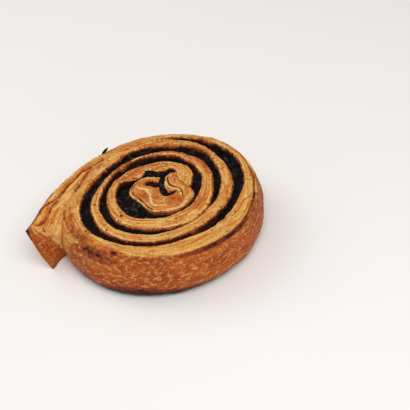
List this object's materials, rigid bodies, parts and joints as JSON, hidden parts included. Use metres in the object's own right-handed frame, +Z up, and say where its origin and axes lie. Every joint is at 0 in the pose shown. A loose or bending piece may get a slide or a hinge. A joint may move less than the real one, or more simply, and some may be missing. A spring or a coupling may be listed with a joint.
{
  "type": "cocoa roll",
  "caption": "Flat coiled roll of laminated dough with a dark cocoa filling spiralling through its top, a bulging baked side and a loose outer end standing off as a tail.",
  "frame": {"origin": "centre of the coil, on the flat underside", "axes": "+Z up out of the spiral top, +X to the right with the tail pointing to -X, +Y to the back"},
  "size_m": [0.1331, 0.114, 0.0305],
  "materials": {
    "baked_dough": "baked crust, golden on the cut top and orange-brown on the side",
    "cocoa_filling": "baked cocoa paste, nearly black, crumbly"
  },
  "bodies": {
    "root": {"cocoa_roll": "baked_dough"}
  },
  "joints": []
}
